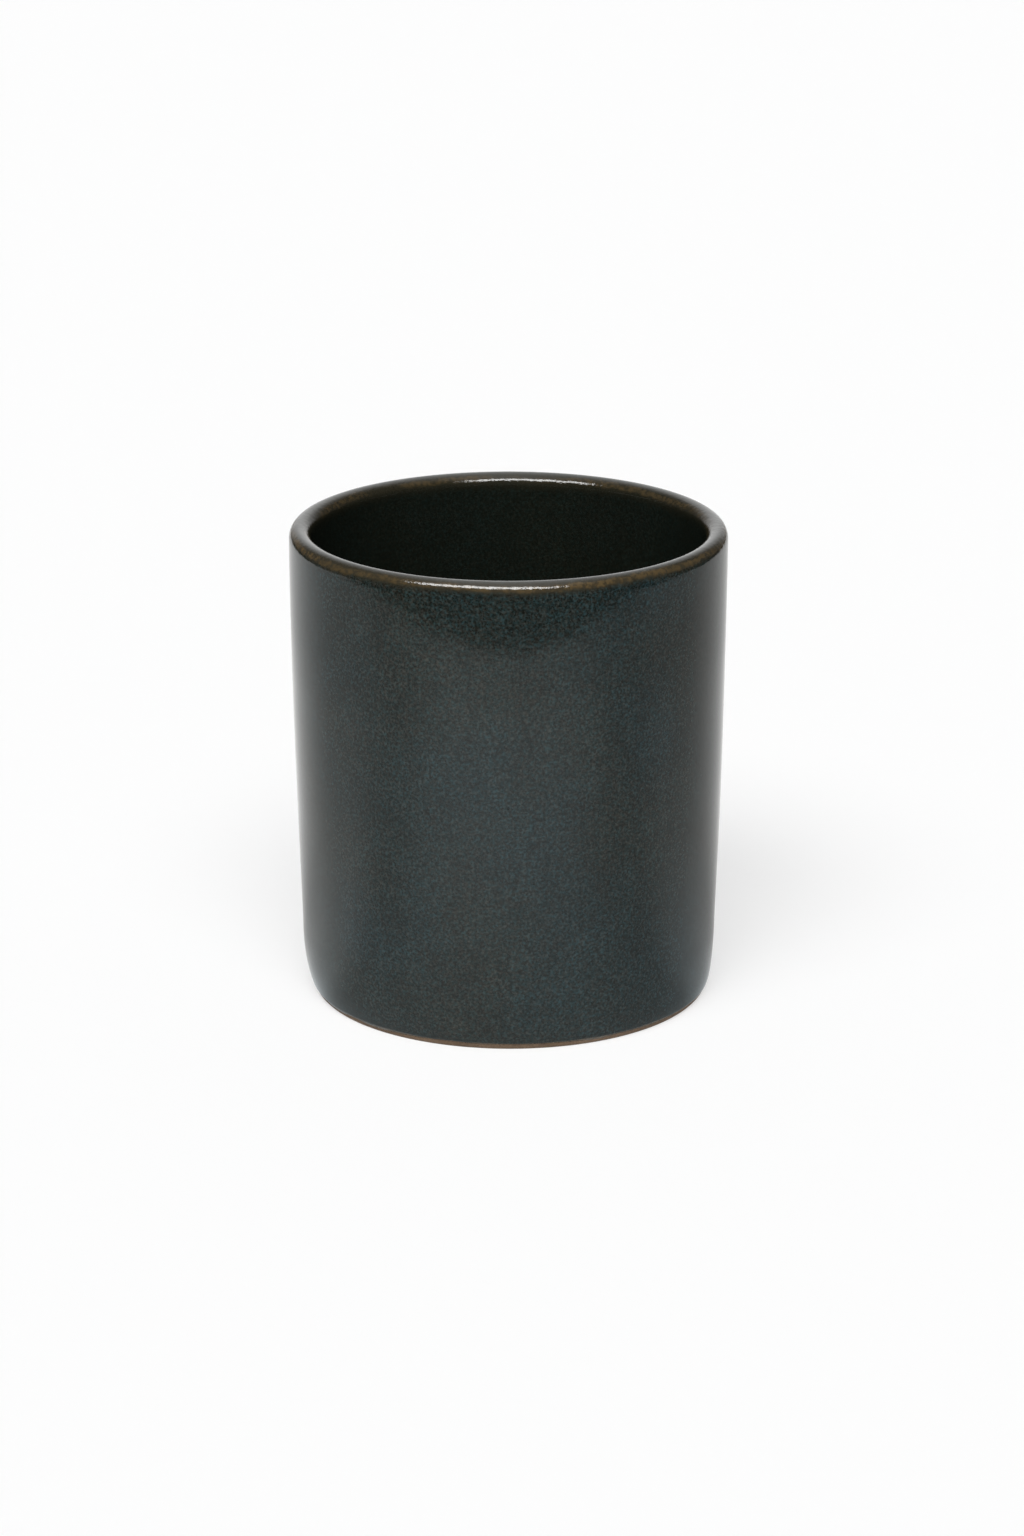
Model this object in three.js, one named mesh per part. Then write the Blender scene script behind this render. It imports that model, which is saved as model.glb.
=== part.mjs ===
// An empty candle jar: a stoneware tumbler that widens a little towards a rounded lip, with a tucked-in
// heel and a shallow recess under its floor. It is one fired piece made of three bodies that are fused
// together: the clay, the coat of glaze that runs from the heel over the lip and down to the inside floor,
// and the patch of glaze in the recess, which the bare foot ring parts from the coat.
// Millimetres, +Z up, with the origin at the middle of the foot ring's resting face.
import * as THREE from "three";

// Outside form, over the glaze.
const height = 90;
const lipRadius = 40.75; // where the wall meets the lip
const heelRadius = 39.25; // where the wall meets the heel
const wallBow = 0.3; // how far the wall stands out from a straight line, halfway up
const heelWidth = 2.35; // how far the heel tucks in under the wall
const heelRise = 14;

// Lip, on either side of its highest line.
const lipOuterWidth = 1.9;
const lipOuterDrop = 2.3;
const lipInnerWidth = 2.3;
const lipInnerDrop = 2.4;

// Inside form, over the glaze.
const floorHeight = 5.6; // the inside floor, above the surface that the jar stands on
const wallAtFloor = 4.55; // the wall's thickness beside the floor
const floorFillet = 7;

// Underside.
const footRingWidth = 4.6;
const recessSlope = 1.2; // how far the recess narrows on its way up
const recessDepth = 1.6;

// Glaze.
const glazeThickness = 0.4;
const bareHeelHeight = 1; // bare clay below the coat
const coatEdgeRise = 0.4; // the height over which the coat thins to its lower edge
const bareRecessMargin = 1; // bare clay round the patch in the recess
const fusionGap = 0.02; // keeps fused clay and glaze separate solids

// Facets.
const turnSteps = 60;
const curveSteps = 4;
const wallSteps = 4;

const lipMiddle = lipRadius - lipOuterWidth;
const boreRadius = heelRadius - wallAtFloor;
const footRingOuter = heelRadius - heelWidth;
const footRingInner = footRingOuter - footRingWidth;
const recessRadius = footRingInner - recessSlope;

// Profile points are (radius, height) pairs.
function point(radius, level) {
  return new THREE.Vector2(radius, level);
}

// Points on an arc of an ellipse, with angles in degrees from the outward direction.
function arc(middle, width, rise, fromAngle, toAngle) {
  const start = THREE.MathUtils.degToRad(fromAngle);
  const end = THREE.MathUtils.degToRad(toAngle);
  const curve = new THREE.EllipseCurve(middle.x, middle.y, width, rise, start, end, end < start);
  return curve.getPoints(curveSteps);
}

// The quarter circle between the inside floor and the inside wall.
function filletPoints(depth) {
  const middle = point(boreRadius - floorFillet, floorHeight + floorFillet);
  return arc(middle, floorFillet + depth, floorFillet + depth, -90, 0);
}

// Two quarter ellipses that meet on the lip's highest line, from the inside to the outside.
function lipPoints(depth) {
  const innerMiddle = point(lipMiddle, height - lipInnerDrop);
  const outerMiddle = point(lipMiddle, height - lipOuterDrop);
  const inner = arc(innerMiddle, lipInnerWidth - depth, lipInnerDrop - depth, 180, 90);
  const outer = arc(outerMiddle, lipOuterWidth - depth, lipOuterDrop - depth, 90, 0);
  return [...inner, ...outer.slice(1)];
}

// The outside wall, from just below the lip to just above the heel.
function wallPoints(depth) {
  const top = point(lipRadius - depth, height - lipOuterDrop);
  const bottom = point(heelRadius - depth, heelRise);
  const bowed = top.clone().add(bottom).divideScalar(2).add(point(2 * wallBow, 0));
  const points = new THREE.QuadraticBezierCurve(top, bowed, bottom).getPoints(wallSteps);
  return points.slice(1);
}

// Where the heel's ellipse reaches a level, in degrees below the outward direction.
function heelAngle(level) {
  return THREE.MathUtils.radToDeg(Math.asin(1 - level / heelRise));
}

// A stretch of the heel, down from one level to another.
function heelPoints(depth, fromLevel, toLevel) {
  const middle = point(footRingOuter, heelRise);
  const points = arc(middle, heelWidth - depth, heelRise, -heelAngle(fromLevel), -heelAngle(toLevel));
  return points.slice(1);
}

// The surface at one depth under the glazed surface, from the middle of the inside floor, up the inside,
// over the lip and down the outside to the level where it stops.
function surfacePoints(depth, stopLevel) {
  return [
    point(0, floorHeight - depth),
    ...filletPoints(depth),
    ...lipPoints(depth),
    ...wallPoints(depth),
    ...heelPoints(depth, heelRise, stopLevel),
  ];
}

// The underside, from the axis out to the foot ring's inner edge.
function undersidePoints() {
  return [
    point(0, recessDepth),
    point(recessRadius, recessDepth),
    point(footRingInner, 0),
  ];
}

// A solid turned about +Z. Its profile runs with the solid on its left.
function turned(name, profile, material) {
  const geometry = new THREE.LatheGeometry(profile, turnSteps);
  geometry.rotateX(Math.PI / 2);
  const mesh = new THREE.Mesh(geometry, material);
  mesh.name = name;
  return mesh;
}

function clayBody(material) {
  const depth = glazeThickness + fusionGap;
  const fused = surfacePoints(depth, bareHeelHeight);
  const bare = heelPoints(depth, bareHeelHeight, 0);
  return turned("clay_body", [...undersidePoints(), ...bare.reverse(), ...fused.reverse()], material);
}

function glazeCoat(material) {
  const backing = surfacePoints(glazeThickness, bareHeelHeight);
  const face = surfacePoints(0, bareHeelHeight + coatEdgeRise);
  return turned("glaze_coat", [...backing, ...face.reverse()], material);
}

function baseGlaze(material) {
  const top = recessDepth - fusionGap;
  const radius = recessRadius - bareRecessMargin;
  const edge = arc(point(radius - glazeThickness, top), glazeThickness, glazeThickness, -90, 0);
  return turned("base_glaze", [point(0, top - glazeThickness), ...edge, point(0, top)], material);
}

const clay = new THREE.MeshStandardMaterial({ color: 0x8a7257, roughness: 0.85, metalness: 0 });
const glaze = new THREE.MeshStandardMaterial({ color: 0x242b28, roughness: 0.2, metalness: 0 });

const jar = new THREE.Group();
jar.add(clayBody(clay));
jar.add(glazeCoat(glaze));
jar.add(baseGlaze(glaze));

export default jar;
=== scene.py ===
import math

import bpy
import numpy as np
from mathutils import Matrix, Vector


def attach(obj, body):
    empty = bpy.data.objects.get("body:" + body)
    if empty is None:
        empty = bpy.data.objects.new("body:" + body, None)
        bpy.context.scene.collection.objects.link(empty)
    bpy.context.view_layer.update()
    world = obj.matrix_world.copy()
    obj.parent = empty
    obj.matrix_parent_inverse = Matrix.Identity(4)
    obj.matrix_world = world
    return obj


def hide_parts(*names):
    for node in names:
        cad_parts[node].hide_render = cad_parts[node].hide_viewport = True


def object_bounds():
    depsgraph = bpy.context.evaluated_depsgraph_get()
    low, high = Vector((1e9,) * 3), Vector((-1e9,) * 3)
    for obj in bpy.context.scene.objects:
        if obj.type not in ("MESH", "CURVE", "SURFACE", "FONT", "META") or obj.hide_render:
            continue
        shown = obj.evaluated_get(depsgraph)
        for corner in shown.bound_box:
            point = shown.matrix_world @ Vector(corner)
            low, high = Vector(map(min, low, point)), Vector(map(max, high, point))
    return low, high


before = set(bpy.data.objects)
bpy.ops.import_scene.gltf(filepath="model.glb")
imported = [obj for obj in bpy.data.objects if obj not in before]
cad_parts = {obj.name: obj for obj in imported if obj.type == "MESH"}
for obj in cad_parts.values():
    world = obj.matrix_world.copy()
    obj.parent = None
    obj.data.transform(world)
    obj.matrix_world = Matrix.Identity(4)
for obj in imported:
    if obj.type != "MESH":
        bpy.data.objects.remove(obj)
cad_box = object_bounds()

MM = 0.001

# Facets of the fine bodies.
SIDES = 320  # round the axis
WALL_STEP = 0.9 * MM  # along a profile's long stretches
CURVE_STEP = 0.3 * MM  # along its lip, heel and fillet
SHORT_STRETCH = 3 * MM  # a CAD facet shorter than this lies on a curve
CORNER_TURN = math.radians(40)  # a sharper turn than this in a profile is a corner
CORNER_ROUND = 0.15 * MM

# The coat's lower edge.
EDGE_WAVE = 0.22 * MM  # how far it runs up and down the heel
EDGE_WAVE_FADE = 3 * MM  # the wave dies out over this height

# Stage.
WHITE = 0.982  # the radiance of the floor and the backdrop
STAGE_RADIUS = 3.0
FLOOR_LEVEL = -0.02 * MM  # just under the jar's foot
MIRRORED_LEVEL = -0.04 * MM
DARK_LEVEL = -0.06 * MM

rim_height = cad_box[1].z
rim_radius = cad_box[1].x


# ---------------------------------------------------------------------------------------------------------
# Profiles, read from the CAD bodies
# ---------------------------------------------------------------------------------------------------------

def section(node):
    """A turned CAD body's profile, as rows of radius and height, from its lower to its upper axis point."""
    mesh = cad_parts[node].data
    tolerance = 0.002 * MM
    keys = [tuple(round(c / tolerance) for c in v.co) for v in mesh.vertices]
    in_plane = [abs(v.co.y) < tolerance and v.co.x > -tolerance for v in mesh.vertices]
    place = {key: (v.co.x, v.co.z) for key, v in zip(keys, mesh.vertices)}
    links = {}
    for edge in mesh.edges:
        a, b = edge.vertices
        if in_plane[a] and in_plane[b] and keys[a] != keys[b]:
            links.setdefault(keys[a], set()).add(keys[b])
            links.setdefault(keys[b], set()).add(keys[a])
    ends = [key for key, near in links.items() if len(near) == 1]
    chain = [min(ends, key=lambda key: key[2])]
    while True:
        onward = [key for key in links[chain[-1]] if key not in chain[-2:]]
        if not onward:
            break
        chain.append(onward[0])
    return np.array([place[key] for key in chain])


def unit(vectors):
    return vectors / np.maximum(np.linalg.norm(vectors, axis=-1, keepdims=True), 1e-12)


def turns(points):
    """How far the profile turns at each inner point."""
    ahead = unit(np.diff(points, axis=0))
    cosine = (ahead[1:] * ahead[:-1]).sum(axis=1)
    return np.arccos(np.clip(cosine, -1, 1))


def round_corners(points):
    """Each sharp corner becomes a small chamfer, which the smooth shading rounds."""
    turn = turns(points)
    out = [points[0]]
    for i in range(1, len(points) - 1):
        here, before, after = points[i], points[i - 1], points[i + 1]
        if turn[i - 1] > CORNER_TURN:
            for other in (before, after):
                away = other - here
                reach = min(CORNER_ROUND, np.linalg.norm(away) / 3)
                out.append(here + unit(away) * reach)
        else:
            out.append(here)
    out.append(points[-1])
    return np.array(out)


def smooth(points):
    """The same profile on a smooth curve through its points, with finer steps where it bends."""
    along = np.diff(points, axis=0)
    lengths = np.linalg.norm(along, axis=1)
    ahead = unit(along)
    tangents = np.vstack([ahead[:1], unit(points[2:] - points[:-2]), ahead[-1:]])
    turn = turns(points)
    out = [points[:1]]
    for i, length in enumerate(lengths):
        start, end = tangents[i], tangents[i + 1]
        if i > 0 and turn[i - 1] > CORNER_TURN:
            start = ahead[i]
        if i < len(turn) and turn[i] > CORNER_TURN:
            end = ahead[i]
        step = CURVE_STEP if length < SHORT_STRETCH else WALL_STEP
        t = np.linspace(0, 1, math.ceil(length / step) + 1)[1:, None]
        out.append(
            (2 * t**3 - 3 * t**2 + 1) * points[i]
            + (t**3 - 2 * t**2 + t) * length * start
            + (3 * t**2 - 2 * t**3) * points[i + 1]
            + (t**3 - t**2) * length * end
        )
    curve = np.vstack(out)
    # The curve doesn't dip below the profile's lowest point, where the jar stands.
    curve[:, 1] = np.maximum(curve[:, 1], points[:, 1].min())
    return curve


# ---------------------------------------------------------------------------------------------------------
# Bodies
# ---------------------------------------------------------------------------------------------------------

def add_object(name, data):
    thing = bpy.data.objects.new(name, data)
    bpy.context.scene.collection.objects.link(thing)
    return thing


def add_mesh(name, vertices, faces, material):
    mesh = bpy.data.meshes.new(name)
    mesh.from_pydata(vertices, [], faces)
    mesh.materials.append(material)
    return add_object(name, mesh)


def handmade(points):
    """Moves points as a thrower's hand does: slightly oval, wavy and ringed, the foot a little off centre."""
    x, y, z = points.T
    angle = np.arctan2(y, x)
    radius = np.hypot(x, y)
    height = z / rim_height
    # Shifts in millimetres.
    oval = 0.08 * np.cos(2 * angle + 0.7) * height
    wave = 0.06 * np.sin(3 * angle + 5.2 * height) * np.sin(math.pi * height)
    rings = 0.004 * np.sin(2 * math.pi * height * 11 + angle) * np.sin(math.pi * height)
    swell = (oval + wave + rings) * MM * np.clip(radius / rim_radius, 0, 1)
    foot_shift = 0.3 * MM * np.exp(-((z / (5 * MM)) ** 2))
    return np.column_stack(
        [x + np.cos(angle) * swell + foot_shift, y + np.sin(angle) * swell, z]
    )


def turned(name, profile, material, edge_wave=None):
    """A closed body turned about the axis. The profile runs from axis to axis with the solid on its left."""
    angles = np.arange(SIDES) * 2 * math.pi / SIDES
    rings = np.repeat(profile[None, 1:-1], SIDES, axis=0)
    if edge_wave is not None:
        rings = rings + edge_wave(angles)
    ring_count = rings.shape[1]
    radius, level = rings[..., 0], rings[..., 1]
    points = np.stack(
        [radius * np.cos(angles)[:, None], radius * np.sin(angles)[:, None], level], axis=-1
    )
    ends = np.array([[0, 0, profile[0, 1]], [0, 0, profile[-1, 1]]])
    vertices = handmade(np.vstack([points.reshape(-1, 3), ends]))
    first, last = SIDES * ring_count, SIDES * ring_count + 1
    faces = []
    for side in range(SIDES):
        here, there = side * ring_count, (side + 1) % SIDES * ring_count
        faces.append((first, there, here))
        for i in range(ring_count - 1):
            faces.append((here + i, there + i, there + i + 1, here + i + 1))
        faces.append((here + ring_count - 1, there + ring_count - 1, last))
    piece = add_mesh(name, vertices.tolist(), faces, material)
    piece.data.polygons.foreach_set("use_smooth", [True] * len(faces))
    return piece


def ragged(angles, seed):
    """A smooth irregular wave round the axis, about 1 high, the same on every run."""
    draw = np.random.default_rng(seed)
    total = np.zeros_like(angles)
    for order in (2, 3, 5, 8, 13, 21, 34, 55):
        total += draw.normal() * np.cos(order * angles + draw.uniform(0, 2 * math.pi)) / order**0.55
    return total / np.abs(total).max()


def coat_edge_wave(profile, corner):
    """The wave of the coat's lower edge, as a shift of the profile's inner points at each angle."""
    inner = profile[1:-1]
    tangents = np.gradient(inner, axis=0)
    uphill = unit(tangents) * np.sign(tangents[:, 1:] + 1e-12)
    fade = np.clip(1 - (inner[:, 1] - corner[1]) / EDGE_WAVE_FADE, 0, 1)
    outside = inner[:, 0] > corner[0] - 2 * MM
    reach = (fade**2 * (3 - 2 * fade) * outside)[:, None] * uphill * EDGE_WAVE
    return lambda angles: ragged(angles, seed=7)[:, None, None] * reach[None]


def make_coat(material):
    outline = section("glaze_coat")
    corner_at = 1 + int(np.argmax(turns(outline)))
    backing = outline[: corner_at + 1]
    face = smooth(outline[corner_at:])
    profile = np.vstack([backing, face[1:]])
    wave = coat_edge_wave(profile, outline[corner_at])
    return turned("glaze_coat_fine", profile, material, wave)


def make_clay(material):
    return turned("clay_body_fine", smooth(round_corners(section("clay_body"))), material)


def make_base_glaze(material):
    return turned("base_glaze_fine", smooth(round_corners(section("base_glaze"))), material)


# ---------------------------------------------------------------------------------------------------------
# Materials
# ---------------------------------------------------------------------------------------------------------

class Nodes:
    """A tree of nodes, with a short call for each kind that the materials and the world use."""

    def __init__(self, tree):
        self.tree = tree

    def add(self, kind, inputs=None, **settings):
        node = self.tree.nodes.new(kind)
        for key, value in settings.items():
            setattr(node, key, value)
        for key, value in (inputs or {}).items():
            self.feed(node.inputs[key], value)
        return node

    def feed(self, socket, value):
        if isinstance(value, bpy.types.NodeSocket):
            self.tree.links.new(value, socket)
        else:
            socket.default_value = value

    def math(self, operation, *values):
        return self.add("ShaderNodeMath", dict(enumerate(values)), operation=operation).outputs[0]

    def plus(self, first, second):
        return self.math("ADD", first, second)

    def minus(self, first, second):
        return self.math("SUBTRACT", first, second)

    def times(self, first, second):
        return self.math("MULTIPLY", first, second)

    def between(self, value, low, high, to_low=0.0, to_high=1.0):
        """The value's place between low and high, eased, as a number from to_low to to_high."""
        inputs = {"Value": value, "From Min": low, "From Max": high, "To Min": to_low, "To Max": to_high}
        node = self.add("ShaderNodeMapRange", inputs, interpolation_type="SMOOTHSTEP")
        return node.outputs["Result"]

    def split(self, vector):
        """A vector's x, y and z."""
        return self.add("ShaderNodeSeparateXYZ", {"Vector": vector}).outputs


class Shader(Nodes):
    """One material's nodes. The functions that build with them call them s."""

    def __init__(self, name):
        self.material = bpy.data.materials.new(name)
        self.material.use_nodes = True
        super().__init__(self.material.node_tree)
        self.surface = self.tree.nodes["Principled BSDF"]
        self.place = self.add("ShaderNodeTexCoord").outputs["Object"]

    def coordinates(self):
        """x, y and z, and the distance from the axis."""
        x, y, z = self.split(self.place)
        squares = self.plus(self.times(x, x), self.times(y, y))
        return x, y, z, self.math("SQRT", squares)

    def noise(self, scale, detail=2.0, roughness=0.5, place=None):
        inputs = {"Vector": place or self.place, "Scale": scale, "Detail": detail, "Roughness": roughness}
        return self.add("ShaderNodeTexNoise", inputs).outputs["Fac"]

    def wander(self, width, scale, detail=2.0, roughness=0.5):
        """An irregular shift, up to about half the width either way."""
        return self.times(self.minus(self.noise(scale, detail, roughness), 0.5), width)

    def stretched(self, x, y, z):
        inputs = {"Vector": self.place, "Scale": (x, y, z)}
        return self.add("ShaderNodeMapping", inputs).outputs[0]

    def blend(self, amount, first, second, how="MIX"):
        node = self.add("ShaderNodeMix", {"Factor": amount}, data_type="RGBA", blend_type=how)
        for name, value in (("A", first), ("B", second)):
            socket = next(s for s in node.inputs if s.name == name and s.type == "RGBA")
            self.feed(socket, value if isinstance(value, bpy.types.NodeSocket) else (*value, 1))
        return next(s for s in node.outputs if s.type == "RGBA")

    def tinted(self, colour, tint):
        return self.blend(1.0, colour, tint, "MULTIPLY")

    def spots(self, scale, radius, share):
        """1 in small round spots, in that share of the cells of a Voronoi pattern, and 0 elsewhere."""
        cells = self.add("ShaderNodeTexVoronoi", {"Vector": self.place, "Scale": scale})
        draw = self.add("ShaderNodeSeparateColor", {"Color": cells.outputs["Color"]}).outputs[0]
        size = self.between(draw, 1 - share, 1, 0, radius)
        return self.between(cells.outputs["Distance"], size, 0)

    def bump(self, height, distance, normal=None):
        inputs = {"Height": height, "Strength": 1.0, "Distance": distance}
        if normal:
            inputs["Normal"] = normal
        return self.add("ShaderNodeBump", inputs).outputs[0]


def mottled(s):
    """Dark iron grounds with teal crystals, a third of a millimetre across, here and there rusty."""
    dark = (0.0068, 0.0086, 0.0068)
    middle = (0.0141, 0.0195, 0.0180)
    teal = (0.0262, 0.0396, 0.0394)
    mottle = s.noise(2100, 2.5, 0.6)
    colour = s.blend(s.between(mottle, 0.33, 0.52), dark, middle)
    colour = s.blend(s.between(mottle, 0.49, 0.69), colour, teal)
    rust = s.between(s.noise(1600, 2, 0.6), 0.36, 0.64)
    return s.tinted(colour, s.blend(rust, (0.78, 1.00, 1.06), (1.24, 0.98, 0.90)))


def clouded(s, colour):
    """Clouds some centimetres across, smaller pale patches, and faint streaks down the wall."""
    cloud = s.between(s.noise(38, 3), 0.32, 0.68)
    colour = s.tinted(colour, s.blend(cloud, (1.12, 0.98, 0.90), (0.92, 1.02, 1.10)))
    patch = s.between(s.noise(150, 3), 0.3, 0.7)
    colour = s.tinted(colour, s.blend(patch, (0.90, 0.90, 0.90), (1.12, 1.12, 1.12)))
    streak = s.between(s.noise(1.0, 3, place=s.stretched(520, 520, 45)), 0.3, 0.7)
    return s.tinted(colour, s.blend(streak, (0.955, 0.955, 0.955), (1.045, 1.045, 1.045)))


def shade_painted_inside(s, colour, depth, inside):
    """Inside, the mottling is softer, and the colour is painted darker, nearly black, and darker still
    further down: painted shade.
    """
    soft = s.blend(s.times(inside, 0.5), colour, (0.0147, 0.0185, 0.0165))
    upper_painted_shade = (0.57, 0.56, 0.46)
    lower_painted_shade = (0.46, 0.46, 0.38)
    depth_painted_shade = s.blend(s.between(depth, 6 * MM, 26 * MM), upper_painted_shade, lower_painted_shade)
    return s.tinted(soft, s.blend(inside, (1, 1, 1), depth_painted_shade))


def specked(s, colour, pinholes):
    """Dark pinholes and a few pale specks."""
    colour = s.blend(s.times(pinholes, 0.8), colour, (0.004, 0.004, 0.003))
    specks = s.spots(260, 0.07, 0.10)
    return s.blend(s.times(specks, 0.5), colour, (0.10, 0.13, 0.14))


def brown_share(s, depth, ragged_depth, inside):
    """Where the glaze runs thin over the lip and turns brown. It reaches a little further down inside."""
    reach = s.plus(2.5 * MM, s.times(inside, 1.2 * MM))
    below_top = s.between(depth, 0, 0.35 * MM, 0.5, 1)
    return s.times(s.between(ragged_depth, reach, 1.0 * MM), below_top)


def ochre_share(s, ragged_depth, inside):
    """Ochre flecks where the lip curves most, in runs, and fewer on the inside."""
    upper = s.between(ragged_depth, 0.3 * MM, 0.7 * MM)
    lower = s.between(ragged_depth, 1.7 * MM, 1.05 * MM)
    fleck = s.between(s.noise(1000, 3, 0.6), 0.38, 0.60, 0.2, 1)
    run = s.between(s.noise(70, 2), 0.38, 0.60)
    share = s.plus(s.plus(s.times(inside, -0.45), 0.5), s.times(run, 0.5))
    return s.times(s.times(upper, lower), s.times(fleck, share))


def thin_at_lip(s, colour, brown, ochre, inside):
    # Inside, the same brown is painted darker: painted shade.
    brown_tone = s.blend(inside, (0.030, 0.025, 0.0155), (0.020, 0.018, 0.011))
    colour = s.blend(s.times(brown, 0.85), colour, brown_tone)
    return s.blend(ochre, colour, (0.080, 0.055, 0.025))


def thin_at_foot(s, colour, level):
    """A thin tan line along the coat's lower edge."""
    ragged_level = s.plus(level, s.wander(0.5 * MM, 420, 3))
    share = s.between(ragged_level, 1.5 * MM, 1.1 * MM, 0, 0.9)
    return s.blend(share, colour, (0.105, 0.080, 0.053))


def glaze_relief(s, brown, pinholes):
    """Orange peel, a fine grain, a rippled lip, and the pinholes' pits."""
    peel = s.bump(s.noise(330, 2), 0.010 * MM)
    grain = s.bump(s.noise(1900, 2), 0.0020 * MM, peel)
    ripple = s.bump(s.times(brown, s.noise(900, 3, 0.65)), 0.08 * MM, grain)
    return s.bump(s.minus(1.0, pinholes), 0.03 * MM, ripple)


def glaze_material():
    s = Shader("glaze")
    _, _, level, radius = s.coordinates()
    depth = s.minus(rim_height, level)
    inside = s.between(radius, rim_radius - 2.35 * MM, rim_radius - 3.55 * MM)
    raggedness = s.plus(s.wander(1.1 * MM, 520, 4, 0.65), s.wander(1.6 * MM, 55))
    ragged_depth = s.plus(depth, raggedness)
    brown = brown_share(s, depth, ragged_depth, inside)
    ochre = ochre_share(s, ragged_depth, inside)
    pinholes = s.spots(420, 0.11, 0.22)

    colour = clouded(s, mottled(s))
    # The inside is painted darker, and darker further down: painted shade.
    colour = shade_painted_inside(s, colour, depth, inside)
    colour = specked(s, colour, pinholes)
    colour = thin_at_lip(s, colour, brown, ochre, inside)
    colour = thin_at_foot(s, colour, level)
    s.feed(s.surface.inputs["Base Color"], colour)
    roughness = s.between(s.noise(900, 2), 0.3, 0.7, 0.07, 0.11)
    s.feed(s.surface.inputs["Roughness"], s.plus(roughness, s.times(pinholes, 0.3)))
    s.surface.inputs["IOR"].default_value = 1.5
    s.feed(s.surface.inputs["Normal"], glaze_relief(s, brown, pinholes))
    return s.material


def clay_material():
    """Bare fired clay: sandy, with iron spots and the rings of the tool that trimmed it."""
    s = Shader("clay")
    _, _, level, radius = s.coordinates()
    grain = s.noise(2600, 3, 0.65)
    colour = s.blend(s.between(grain, 0.3, 0.7), (0.112, 0.070, 0.041), (0.190, 0.127, 0.079))
    tone = s.between(s.noise(80, 3), 0.3, 0.7)
    colour = s.tinted(colour, s.blend(tone, (0.84, 0.80, 0.76), (1.12, 1.12, 1.12)))
    iron = s.spots(900, 0.28, 0.3)
    colour = s.blend(s.times(iron, 0.75), colour, (0.035, 0.020, 0.011))
    s.feed(s.surface.inputs["Base Color"], colour)
    s.feed(s.surface.inputs["Roughness"], s.between(grain, 0.3, 0.7, 0.72, 0.92))
    s.surface.inputs["IOR"].default_value = 1.5
    ring_place = s.add("ShaderNodeCombineXYZ", {"X": radius, "Z": level}).outputs[0]
    rings = s.bump(s.noise(2400, 2, place=ring_place), 0.03 * MM)
    sand = s.bump(grain, 0.05 * MM, rings)
    s.feed(s.surface.inputs["Normal"], sand)
    return s.material


# ---------------------------------------------------------------------------------------------------------
# Stage, light and camera
# ---------------------------------------------------------------------------------------------------------

def plain_material(name, colour, glow=0.0):
    material = bpy.data.materials.new(name)
    material.use_nodes = True
    surface = material.node_tree.nodes["Principled BSDF"]
    surface.inputs["Base Color"].default_value = (*colour, 1)
    surface.inputs["Roughness"].default_value = 1.0
    surface.inputs["Specular IOR Level"].default_value = 0.0
    surface.inputs["Emission Color"].default_value = (1, 1, 1, 1)
    surface.inputs["Emission Strength"].default_value = glow
    return material


def add_stage(name, vertices, faces, material, seen_by):
    """A part of the stage, seen only by those kinds of ray."""
    thing = add_mesh(name, vertices, faces, material)
    for kind in ("camera", "diffuse", "glossy", "transmission", "shadow"):
        setattr(thing, "visible_" + kind, kind in seen_by)


def circle(radius, level, count=96):
    angles = [2 * math.pi * i / count for i in range(count)]
    return [(radius * math.cos(a), radius * math.sin(a), level) for a in angles]


def one_face(points):
    return [tuple(range(len(points)))]


def make_floor():
    """The white table top, which the camera sees and which lights the jar from below."""
    lit_share = 0.385  # what the lamps give it of WHITE; it glows by the rest
    white = plain_material("floor_white", (0.34, 0.34, 0.34), glow=WHITE - lit_share)
    points = circle(STAGE_RADIUS, FLOOR_LEVEL)
    add_stage("floor", points, one_face(points), white, ("camera", "diffuse"))


def mirrored_material():
    """The table top as the glaze mirrors it: bright behind the jar, in front of it, and close beside it."""
    s = Shader("floor_mirrored")
    x, y, _, radius = s.coordinates()
    reach = s.math("MAXIMUM", radius, 1 * MM)
    aside = s.math("DIVIDE", x, reach)  # 1 straight to the right of the jar
    facing = s.math("DIVIDE", y, reach)  # 1 straight behind it, -1 straight in front

    # The glow beside the jar, and what the other sides add to it.
    beside = s.between(reach, 220 * MM, 50 * MM, 0.54, 0.70)
    quarter = s.times(s.between(facing, -0.15, -0.5), s.minus(0.43, beside))
    # In front, near the foot, it glows less: a painted shadow of the jar.
    near_foot = s.between(reach, 40 * MM, 150 * MM, 0.3, 1)
    before = s.times(s.between(facing, -0.55, -1, 0, 0.34), near_foot)
    behind = s.times(s.between(facing, 0.1, 1), s.minus(1.0, beside))
    glow = s.plus(s.plus(beside, quarter), s.plus(before, behind))

    # It dims to the right, far out, and in the jar's shadow.
    slant = s.minus(1.0, s.times(aside, 0.14))
    fading = s.between(reach, 200 * MM, 260 * MM, 1, 0.84)
    shaded = s.times(s.between(facing, 0.1, 0.5), s.between(reach, 130 * MM, 60 * MM, 0, 0.3))
    glow = s.times(glow, s.times(s.times(slant, fading), s.minus(1.0, shaded)))

    s.feed(s.surface.inputs["Emission Strength"], glow)
    tint = s.blend(s.between(facing, 0.6, -0.6), (1.0, 1.0, 0.99), (0.94, 1.03, 1.07))
    s.feed(s.surface.inputs["Emission Color"], tint)
    s.surface.inputs["Base Color"].default_value = (0, 0, 0, 1)
    s.surface.inputs["Specular IOR Level"].default_value = 0.0
    return s.material


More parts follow.
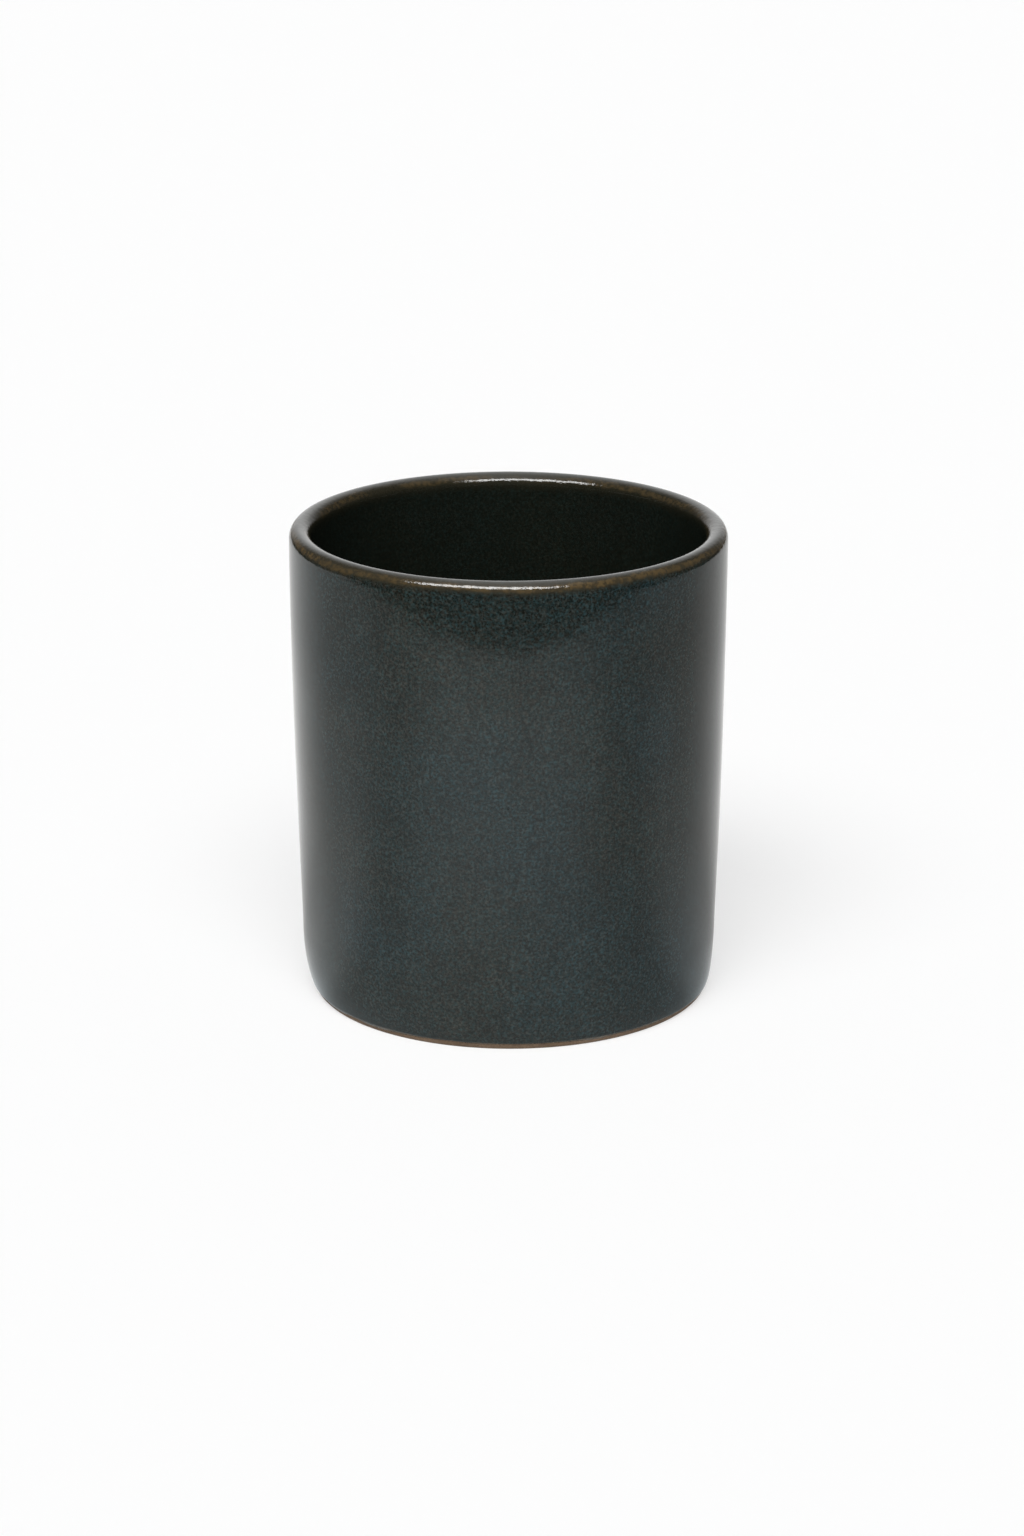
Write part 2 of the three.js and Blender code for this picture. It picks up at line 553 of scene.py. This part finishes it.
def make_mirrored_floor():
    """What only the glaze sees of the table: a pale top with a round front, in a dark room."""
    middle_x, middle_y = 0.008, 0.045
    half_width = 0.365
    front_depth = 0.325
    back = 2.5
    arc_steps = 48
    arc = [math.radians(180 + 180 * step / arc_steps) for step in range(arc_steps + 1)]
    outline = [(middle_x + half_width * math.cos(a), middle_y + front_depth * math.sin(a)) for a in arc]
    outline += [(middle_x + half_width, back), (middle_x - half_width, back)]
    points = [(x, y, MIRRORED_LEVEL) for x, y in outline]
    add_stage("mirrored_floor", points, one_face(points), mirrored_material(), ("glossy",))

    black = plain_material("dark_room", (0.01, 0.01, 0.01))
    points = circle(STAGE_RADIUS, DARK_LEVEL)
    add_stage("dark_floor", points, one_face(points), black, ("glossy",))


def make_backdrop():
    """A white wall all round, at the floor's far edge, for the camera alone."""
    count = 64
    radius = STAGE_RADIUS - 0.1
    low = circle(radius, -0.02, count)
    high = circle(radius, 3.0, count)
    faces = [(i, (i + 1) % count, count + (i + 1) % count, count + i) for i in range(count)]
    white = plain_material("backdrop_white", (0, 0, 0), glow=WHITE)
    add_stage("backdrop", low + high, faces, white, ("camera",))


def around(azimuth, elevation, distance, centre):
    """A place at that distance from the centre; azimuth 0 is in front of the jar, and 90 is to its right."""
    a, e = math.radians(azimuth), math.radians(elevation)
    away = Vector((math.sin(a) * math.cos(e), -math.cos(a) * math.cos(e), math.sin(e)))
    return Vector(centre) + away * distance


def aimed_lamp(name, data, place, toward):
    lamp = add_object(name, data)
    lamp.location = place
    lamp.rotation_mode = "QUATERNION"
    lamp.rotation_quaternion = (Vector(toward) - Vector(place)).to_track_quat("-Z", "Y")
    lamp.visible_camera = False
    return lamp


def make_sun(azimuth, elevation, energy, angle):
    """A soft light that the glaze doesn't mirror. The angle is how wide it looks, in degrees."""
    data = bpy.data.lights.new("soft_sun", "SUN")
    data.energy = energy
    data.angle = math.radians(angle)
    origin = (0, 0, 0)
    sun = aimed_lamp("soft_sun", data, around(azimuth, elevation, 1, origin), origin)
    sun.visible_glossy = False


def make_strip():
    """A long softbox over the camera. The glaze mirrors it, and four soft suns give its even light."""
    elevation = 51
    rim = (0, 0, rim_height)
    data = bpy.data.lights.new("strip", "AREA")
    data.shape = "RECTANGLE"
    data.size = 1.2
    data.size_y = 0.28
    data.energy = 17
    strip = aimed_lamp("strip", data, around(-15, elevation, 1.05, rim), rim)
    strip.visible_diffuse = False
    for azimuth in (-31, -14, 0, 13):
        make_sun(azimuth, elevation, energy=1.0, angle=28)


def make_world():
    """A dark room with a pale sheet hung behind the jar and on over it, brightest along its middle."""
    world = bpy.data.worlds.new("studio")
    bpy.context.scene.world = world
    world.use_nodes = True
    s = Nodes(world.node_tree)
    x, y, z = s.split(s.add("ShaderNodeTexCoord").outputs["Generated"])
    across = s.between(s.math("ABSOLUTE", x), 0.68, 0.0, 0.05, 1.18)
    along = s.between(s.plus(y, z), 0.1, 0.6, 0.05, 1.0)
    background = s.tree.nodes["Background"]
    s.feed(background.inputs["Strength"], s.times(across, along))
    background.inputs["Color"].default_value = (1, 1, 1, 1)
    world.cycles_visibility.diffuse = False


def make_light():
    """The strip, the pale sheet, and the sheet's own soft light from behind and above."""
    make_strip()
    make_sun(azimuth=180, elevation=70, energy=0.5, angle=120)
    make_world()
    bpy.context.scene.view_settings.view_transform = "Standard"


def make_camera():
    """A long lens in front of the jar, aimed a little to the right of its middle and a little below it."""
    elevation = math.radians(18.2)
    distance = 0.87
    aside, below = 0.64 * MM, 2.56 * MM
    back = Vector((0, -math.cos(elevation), math.sin(elevation)))
    up = Vector((0, math.sin(elevation), math.cos(elevation)))
    middle = (cad_box[0] + cad_box[1]) / 2
    aim = middle + Vector((aside, 0, 0)) - up * below

    data = bpy.data.cameras.new("camera")
    data.sensor_width = 36
    data.lens = 108
    data.clip_start = 0.05
    data.clip_end = 20
    camera = add_object("camera", data)
    camera.location = aim + back * distance
    camera.rotation_mode = "QUATERNION"
    camera.rotation_quaternion = (-back).to_track_quat("-Z", "Y")
    bpy.context.scene.camera = camera


def make_jar():
    glaze = glaze_material()
    clay = clay_material()
    pieces = [
        (make_clay(clay), "clay_body", "clay"),
        (make_coat(glaze), "glaze_coat", "glaze"),
        (make_base_glaze(glaze), "base_glaze", "glaze"),
    ]
    for piece, node, slot in pieces:
        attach(piece, "root")
        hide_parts(node)


make_jar()
make_floor()
make_mirrored_floor()
make_backdrop()
make_light()
make_camera()
